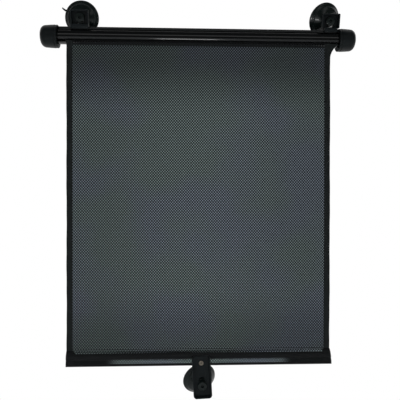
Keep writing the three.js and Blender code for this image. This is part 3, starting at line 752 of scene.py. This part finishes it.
def ripple(x, z):
    """How far the hanging cloth stands off its plane: slow waves that end at the slot and the bar."""
    down = (SLOT_Z - z) / (SLOT_Z - POCKET_TOP)
    free = np.clip(down, 0, 1) * np.clip(1 - down, 0, 1) * 4
    return free * (0.55 * np.sin(x / 37.0 + 0.6) + 0.35 * np.sin(x / 15.0 + z / 160.0))


# Direction (Y, Z) in which the net runs from the slot to the roll
LEAD = Vector((2.9, 9.1)).normalized()


def hanging(x, z):
    """From the slot down the net hangs; above it, it leads in to the roll."""
    above = np.clip(z - SLOT_Z, 0, None)
    y = PANEL_Y + ripple(x, z) + above * LEAD.x
    return np.stack([x, y, np.where(above > 0, SLOT_Z + above * LEAD.y, z)], -1)


def shade_net():
    """The open net, from the pocket up through the slot."""
    step = CELL_H / 2
    rows = int((SLOT_Z + 7.0 - POCKET_TOP - 1.0) // step)
    columns = int((2 * PANEL_HALF - 4) // CELL_W)
    start = POCKET_TOP + step
    low, high = POCKET_TOP - 0.05, start + rows * step
    return net("shade_net", columns, rows, start, PANEL_HALF, low, high, hanging)


def pocket_line():
    """Half of the pocket's section, from the seam's lower edge up round the bar to the top fold."""
    gap, a, b = 0.24, BAR_T / 2 + 0.5, BAR_H / 2 + 0.5
    line = [(gap, BOTTOM_Z), (gap, BAR_Z - b - 0.9)]
    line += [(max(gap, a * math.cos(t)), BAR_Z + b * math.sin(t))
             for t in np.linspace(-TURN / 4 + 0.16, TURN / 4, 40)]
    line[-1] = (0.0, BAR_Z + b)
    return np.array(line)


def hem_sleeve():
    """The net folded round the bar and closed below it; its ends stand out a little past the bindings."""
    line = pocket_line()
    run = np.concatenate([[0], np.cumsum(np.linalg.norm(np.diff(line, axis=0), axis=1))])
    length = run[-1]

    def place(x, s):
        back = s < 0
        t = length - np.abs(s)
        y = np.interp(t, run, line[:, 0])
        z = np.interp(t, run, line[:, 1])
        down = np.clip((POCKET_TOP - z) / 20, 0, 1)
        flare = (np.where(x > 0, 3.6, 1.6) * down - 1.0) * np.clip((np.abs(x) - 185) / 17, 0, 1) ** 2
        return np.stack([x + np.sign(x) * flare, PANEL_Y + np.where(back, y, -y), z], -1)

    step = CELL_H / 2
    half_rows = int((length - 3.0) // step)
    columns = int(2 * (PANEL_HALF - TAPE_WIDTH) // CELL_W)
    rows, start = 2 * half_rows + 1, -half_rows * step
    return net("hem_sleeve", columns, rows, start, HEM_HALF, -length, length, place), length


def binding(side):
    """Binding tape folded over the net's side edge; its upper end spreads where it enters the slot."""
    top, low = SLOT_Z - 0.4, POCKET_TOP - 0.05
    levels = np.linspace(0, 1, 260)
    z = top + (low - top) * levels
    flare_in, reach = (12.0, 22.0) if side > 0 else (1.5, 9.0)
    flare = flare_in * np.clip(1 - (top - z) / reach, 0, 1) ** 2
    outer, inner, thick = PANEL_HALF + 0.1, PANEL_HALF - TAPE_WIDTH, 0.42
    front = [(inner, -0.3 - thick), (outer - 0.3, -0.3 - thick), (outer + 0.25, -0.55), (outer + 0.42, 0.0)]
    outline = front + [(x, -y) for x, y in front[-2::-1]]
    outline += [(inner, 0.3), (outer - 0.4, 0.3), (outer - 0.1, 0.0), (outer - 0.4, -0.3), (inner, -0.3)]
    outline = np.array(outline)
    count = len(outline)
    wide = (outline[:, 0] - inner) / TAPE_WIDTH
    points = np.zeros((len(z), count, 3))
    wander = 0.18 * np.sin(z / 21.0 + side) + 0.1 * np.sin(z / 6.3)
    points[..., 0] = side * (outline[:, 0] + flare[:, None] * wide + wander[:, None] * wide)
    points[..., 1] = PANEL_Y + outline[:, 1] + ripple(points[..., 0], z[:, None])
    points[..., 2] = z[:, None]
    a = np.arange(len(z) - 1)[:, None] * count + np.arange(count)
    b = np.arange(len(z) - 1)[:, None] * count + (np.arange(count) + 1) % count
    walls = np.stack([a, b, b + count, a + count], -1).reshape(-1, 4)
    tape = from_grid("binding_" + ("right" if side > 0 else "left"), points.reshape(-1, 3) * MM, [walls])
    active(tape)
    bpy.ops.object.mode_set(mode="EDIT")
    pick("EDGE", lambda e: e.is_boundary)
    bpy.ops.mesh.edge_face_add()
    return done(tape, 50)


def stitch_row(name, x, z, off, step, count):
    """A row of stitches that begins at (x, z). One is modelled, a short thread that dips at both ends,
    off the cloth's middle. A second lies turned over on the cloth's other face, and the pair is repeated."""
    upright = abs(step[2]) > abs(step[0])
    bpy.ops.mesh.primitive_cylinder_add(vertices=6, radius=THREAD_R * MM, depth=STITCH_LENGTH * MM,
                                        rotation=(0, TURN / 4, 0))
    active(bpy.context.active_object)
    bpy.ops.object.transform_apply(location=True, rotation=True, scale=True)
    stitch = added(name)
    pick("EDGE", lambda e: along(0, e))
    bpy.ops.mesh.subdivide(number_cuts=3)
    pick("VERT", lambda v: abs(v.co.x) > 0.45 * STITCH_LENGTH * MM)
    bpy.ops.transform.translate(value=(0, 0.28 * MM, 0))
    bpy.ops.transform.resize(value=(1, 0.6, 0.6))
    done(stitch, 60)
    if upright:
        settle(stitch, Matrix.Rotation(TURN / 4, 4, "Y"))
    other = stitch.copy()
    other.data = stitch.data.copy()
    bpy.context.scene.collection.objects.link(other)
    turned_over = Matrix.Rotation(TURN / 2, 4, "Z" if upright else "X")
    settle(other, Matrix.Translation((0, 2 * off * MM, 0)) @ turned_over)
    row = joined(name, stitch, other)
    modifier(row, "ARRAY", count=count, use_relative_offset=False, use_constant_offset=True,
             constant_offset_displace=[c * MM for c in step])
    settle(row, Matrix.Translation((x * MM, (PANEL_Y - off) * MM, z * MM)))
    return row


def fabric_roll():
    """The turns of net that stay on the roller."""
    sides, turns, pitch = 90, 1.4, 0.5
    half_thick, gap = 0.175, 0.05
    start = ROLLER_R + half_thick + gap
    end_angle = SLOT_MIDDLE - math.acos((start + pitch * turns) / TUBE_R)
    t = np.linspace(0, turns, sides)
    angle = end_angle - (turns - t) * TURN
    x = np.array([-PANEL_HALF, PANEL_HALF])
    points = np.zeros((sides, 2, 3))
    points[..., 0] = x
    points[..., 1] = ((start + pitch * t) * np.cos(angle))[:, None]
    points[..., 2] = ((start + pitch * t) * np.sin(angle))[:, None]
    a = np.arange(sides - 1) * 2
    roll = from_grid("fabric_roll", points.reshape(-1, 3) * MM, [np.stack([a, a + 1, a + 3, a + 2], -1)])
    modifier(roll, "SOLIDIFY", thickness=0.3 * MM, offset=0.0)
    done(roll, 60)
    paint(roll, TAPE)
    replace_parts(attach(roll, "roller"), "fabric_wrap")


# The hard pieces in turn
case_shell()
for side in (-1, 1):
    end_cap(side)
seat_left = top_bracket("left", *BRACKETS["left"])
suction_cup("cup_left", "suction_cup_left", "bracket_left", seat_left, tongue_angle=156)
seat_right = top_bracket("right", *BRACKETS["right"])
suction_cup("cup_right", "suction_cup_right", "bracket_right", seat_right,
            tongue_angle=262, turn=17, lean=14)
tab_place = (Matrix.Translation((RIVET_X * MM, TAB_BACK * MM, RIVET_Z * MM))
             @ Matrix.Rotation(-TAB_SWING, 4, "Y"))
pull_tab(tab_place)
seat_tab = tab_place @ Matrix.Translation((0, 0.3 * MM, TAB_CUP_Z * MM))
suction_cup("cup_bottom", "suction_cup_bottom", "tab", seat_tab, tongue_angle=268, turn=16, lean=19)
rivet_and_washer()
bar_strip()

# The fabric, its bindings and its seams
fabric_roll()
panel, panel_area = shade_net()
paint(panel, NET)
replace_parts(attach(panel, "root"), "shade_panel")
trims = []
for side, label in ((-1, "left"), (1, "right")):
    tape = binding(side)
    paint(tape, TAPE)
    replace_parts(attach(tape, "root"), "edge_tape_" + label)
    seam_x = side * (PANEL_HALF - TAPE_WIDTH + 1.7)
    top = SLOT_Z - 3
    count = int((top - POCKET_TOP - 1) // STITCH_PITCH)
    seam = stitch_row("binding_stitches_" + label, seam_x, top, 0.78, (0, 0, -STITCH_PITCH), count)
    for vertex in seam.data.vertices:
        vertex.co.y += float(ripple(vertex.co.x / MM, vertex.co.z / MM)) * MM
    paint(seam, THREAD)
    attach(seam, "root")
    trims += [tape, seam]
(sleeve, sleeve_area), sleeve_length = hem_sleeve()
paint(sleeve, NET)
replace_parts(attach(sleeve, "bar"), "hem_pocket")
for label, z in HEM_SEAMS.items():
    seam = stitch_row("hem_stitches_" + label, -199.5, z, 0.42, (STITCH_PITCH, 0, 0), HEM_STITCHES)
    paint(seam, THREAD)
    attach(seam, "bar")
for cloth in [panel, *trims]:
    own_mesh(cloth)


# Stage: a wall close behind the shade with a painted shadow on it, a floor, lamps and the camera
WALL_Y = 33.0
FLOOR_Z = -620.0
EYE_PLACE = (-0.033, -0.8, -0.241)
EYE_ANGLES = (-2.44, -0.48, -0.07)
EYE_LENS = 46.86

# The painted shadow on the wall behind the mesh, in metres: its middle, and how its tone goes from one
# height to another, as (height, height, tone, tone)
SHADOW_MIDDLE = 0.0017
PAINTED_SHADOW_TONES = (
    # Painted shade: dark under the case, lighter down the upper part, darker over the pocket, bright in the
    # gap under the bar
    (0.003, -0.006, 0.04, 0.42),
    (-0.02, -0.12, 1.0, 2.38),
    (-0.38, -0.48, 1.0, 0.68),
    (-0.4862, -0.4880, 1.0, 2.4),
)


def emission_for_camera(tree, colour, ground):
    """Show a plain colour to the camera and to gloss, and the ground's own shading to everything else."""
    path = tree.nodes.new("ShaderNodeLightPath")
    seen = maths(tree, "MAXIMUM", path.outputs["Is Camera Ray"],
                 maths(tree, "MAXIMUM", path.outputs["Is Glossy Ray"], path.outputs["Is Transmission Ray"]))
    glow = tree.nodes.new("ShaderNodeEmission")
    tree.links.new(colour, glow.inputs["Color"])
    mixed = node(tree, "ShaderNodeMixShader", {"Fac": seen})
    tree.links.new(ground, mixed.inputs[1])
    tree.links.new(glow.outputs["Emission"], mixed.inputs[2])
    return mixed.outputs["Shader"]


def wall():
    """White board close behind the shade, with a painted shadow where the mesh hangs before it, clear from
    behind.
    """
    bpy.ops.mesh.primitive_plane_add(size=3, location=(0, WALL_Y * MM, -0.2), rotation=(TURN / 4, 0, 0))
    board = active(bpy.context.active_object)
    board.name = "wall"
    bpy.ops.object.transform_apply(location=True, rotation=True, scale=True)
    material = bpy.data.materials.new("wall_pale_painted_shadow")
    material.use_nodes = True
    tree = material.node_tree
    tree.nodes.clear()
    place = node(tree, "ShaderNodeTexCoord").outputs["Object"]
    xyz = node(tree, "ShaderNodeSeparateXYZ", {"Vector": place})
    x, z = xyz.outputs["X"], xyz.outputs["Z"]
    # Painted shadow of the mesh on the wall: a soft-edged patch behind the net, from under the case to below
    # the pocket
    far = maths(tree, "ABSOLUTE", maths(tree, "SUBTRACT", x, SHADOW_MIDDLE))
    inside = spread(tree, far, 0.2062, 0.2088, 1.0, 0.0, True)
    below = spread(tree, z, 0.017, 0.006, 0.0, 1.0, True)
    above = spread(tree, z, -0.5130, -0.5110, 0.0, 1.0, True)
    shadow_region = maths(tree, "MULTIPLY", inside, maths(tree, "MULTIPLY", below, above))
    tone = spread(tree, z, *PAINTED_SHADOW_TONES[0], True)
    for change in PAINTED_SHADOW_TONES[1:]:
        tone = maths(tree, "MULTIPLY", tone, spread(tree, z, *change, True))
    # Painted shade at the two ends of the strip under the seam; its middle stays light
    low = spread(tree, z, -0.496, -0.498, 0.0, 1.0, True)
    ends = spread(tree, far, 0.125, 0.150, 0.8, 0.03, True)
    strip = maths(tree, "ADD", maths(tree, "MULTIPLY", low, ends), maths(tree, "SUBTRACT", 1.0, low))
    # How deep the painted shadow is: its tones down the wall, the strip under the seam, and a little darker
    # towards the sides
    shadow_depth = maths(tree, "MULTIPLY", maths(tree, "MULTIPLY", tone, strip),
                 spread(tree, far, 0.0, 0.2, 1.0, 0.86, True))
    painted_shadow = node(tree, "ShaderNodeMix", {"Factor": shadow_depth}, data_type="RGBA", clamp_factor=False)
    painted_shadow.inputs["A"].default_value = (0.0, 0.0, 0.0, 1)
    # Colour of the painted shadow, a bluish and a greenish dark mixed by noise
    cast = node(tree, "ShaderNodeTexNoise", {"Vector": place}, Scale=11.0, Detail=1.0)
    tint = node(tree, "ShaderNodeMix", {"Factor": spread(tree, cast.outputs["Fac"], 0.38, 0.62, 0.0, 1.0)},
                data_type="RGBA")
    tint.inputs["A"].default_value = (0.162, 0.192, 0.228, 1)
    tint.inputs["B"].default_value = (0.158, 0.202, 0.198, 1)
    tree.links.new(tint.outputs["Result"], painted_shadow.inputs["B"])
    # White wall outside the painted shadow
    colour = node(tree, "ShaderNodeMix", {"Factor": shadow_region, "B": painted_shadow.outputs["Result"]}, data_type="RGBA")
    colour.inputs["A"].default_value = (1, 1, 1, 1)
    pale = tree.nodes.new("ShaderNodeBsdfDiffuse")
    pale.inputs["Color"].default_value = (0.8, 0.8, 0.8, 1)
    # The camera and gloss see the wall and its painted shadow as an unlit glow
    shown = emission_for_camera(tree, colour.outputs["Result"], pale.outputs["BSDF"])
    backfacing = node(tree, "ShaderNodeNewGeometry").outputs["Backfacing"]
    behind = node(tree, "ShaderNodeMixShader", {"Fac": backfacing})
    tree.links.new(shown, behind.inputs[1])
    tree.links.new(node(tree, "ShaderNodeBsdfTransparent").outputs["BSDF"], behind.inputs[2])
    output = tree.nodes.new("ShaderNodeOutputMaterial")
    tree.links.new(behind.outputs["Shader"], output.inputs["Surface"])
    board.data.materials.append(material)


def floor():
    """Pale ground under the shade."""
    bpy.ops.mesh.primitive_plane_add(size=6, location=(0, 0, FLOOR_Z * MM))
    ground = active(bpy.context.active_object)
    ground.name = "floor"
    material = bpy.data.materials.new("floor_pale")
    material.use_nodes = True
    shader = material.node_tree.nodes["Principled BSDF"]
    shader.inputs["Base Color"].default_value = (0.86, 0.86, 0.86, 1)
    shader.inputs["Roughness"].default_value = 0.9
    ground.data.materials.append(material)


def world():
    """White to the camera, soft daylight on the pieces, and nearly dark in their gloss."""
    made = bpy.data.worlds.new("studio")
    bpy.context.scene.world = made
    made.use_nodes = True
    tree = made.node_tree
    tree.nodes.clear()
    path = tree.nodes.new("ShaderNodeLightPath")
    seen = maths(tree, "MAXIMUM", path.outputs["Is Camera Ray"], path.outputs["Is Transmission Ray"])
    strength = spread(tree, path.outputs["Is Glossy Ray"], 0.0, 1.0, 0.6, 0.06)
    white = node(tree, "ShaderNodeBackground", Strength=1.0)
    white.inputs["Color"].default_value = (1, 1, 1, 1)
    soft = node(tree, "ShaderNodeBackground", {"Strength": strength})
    soft.inputs["Color"].default_value = (0.93, 0.98, 1.0, 1)
    only_camera = node(tree, "ShaderNodeMixShader", {"Fac": seen})
    tree.links.new(soft.outputs["Background"], only_camera.inputs[1])
    tree.links.new(white.outputs["Background"], only_camera.inputs[2])
    output = tree.nodes.new("ShaderNodeOutputWorld")
    tree.links.new(only_camera.outputs["Shader"], output.inputs["Surface"])


def lamp(name, spot, target, size, watts, tint=(1, 1, 1)):
    """Rectangular lamp that faces its target and that the camera doesn't see."""
    light = bpy.data.lights.new(name, "AREA")
    light.shape, light.size, light.size_y = "RECTANGLE", size[0], size[1]
    light.energy, light.color = watts, tint
    holder = bpy.data.objects.new(name, light)
    bpy.context.scene.collection.objects.link(holder)
    holder.location = spot
    holder.rotation_euler = (Vector(target) - Vector(spot)).to_track_quat("-Z", "Y").to_euler()
    holder.visible_camera = False


def camera():
    """The eye of the photo, a little to the left and turned back to the shade."""
    eye = bpy.data.cameras.new("camera")
    eye.sensor_width, eye.lens = 36.0, EYE_LENS
    eye.clip_start, eye.clip_end = 0.01, 50.0
    holder = bpy.data.objects.new("camera", eye)
    bpy.context.scene.collection.objects.link(holder)
    yaw, pitch, roll = (math.radians(a) for a in EYE_ANGLES)
    aim = Matrix.Rotation(yaw, 4, "Z") @ Matrix.Rotation(pitch, 4, "X") @ Matrix.Rotation(roll, 4, "Y")
    holder.matrix_world = Matrix.Translation(EYE_PLACE) @ aim @ Matrix.Rotation(TURN / 4, 4, "X")
    bpy.context.scene.camera = holder


wall()
floor()
world()
lamp("key", (0, -1.1, 0.5), (0, 0, -0.1), (2.6, 0.3), 1.7)
lamp("fill", (0.1, -0.95, -0.6), (0, 0, -0.1), (2.4, 0.16), 0.7, (0.94, 0.98, 1.0))
lamp("tube_strip", (-0.01, -0.52, -0.30), (0, 0, 0), (0.16, 0.035), 0.35)
camera()
bpy.context.scene.view_settings.view_transform = "Standard"
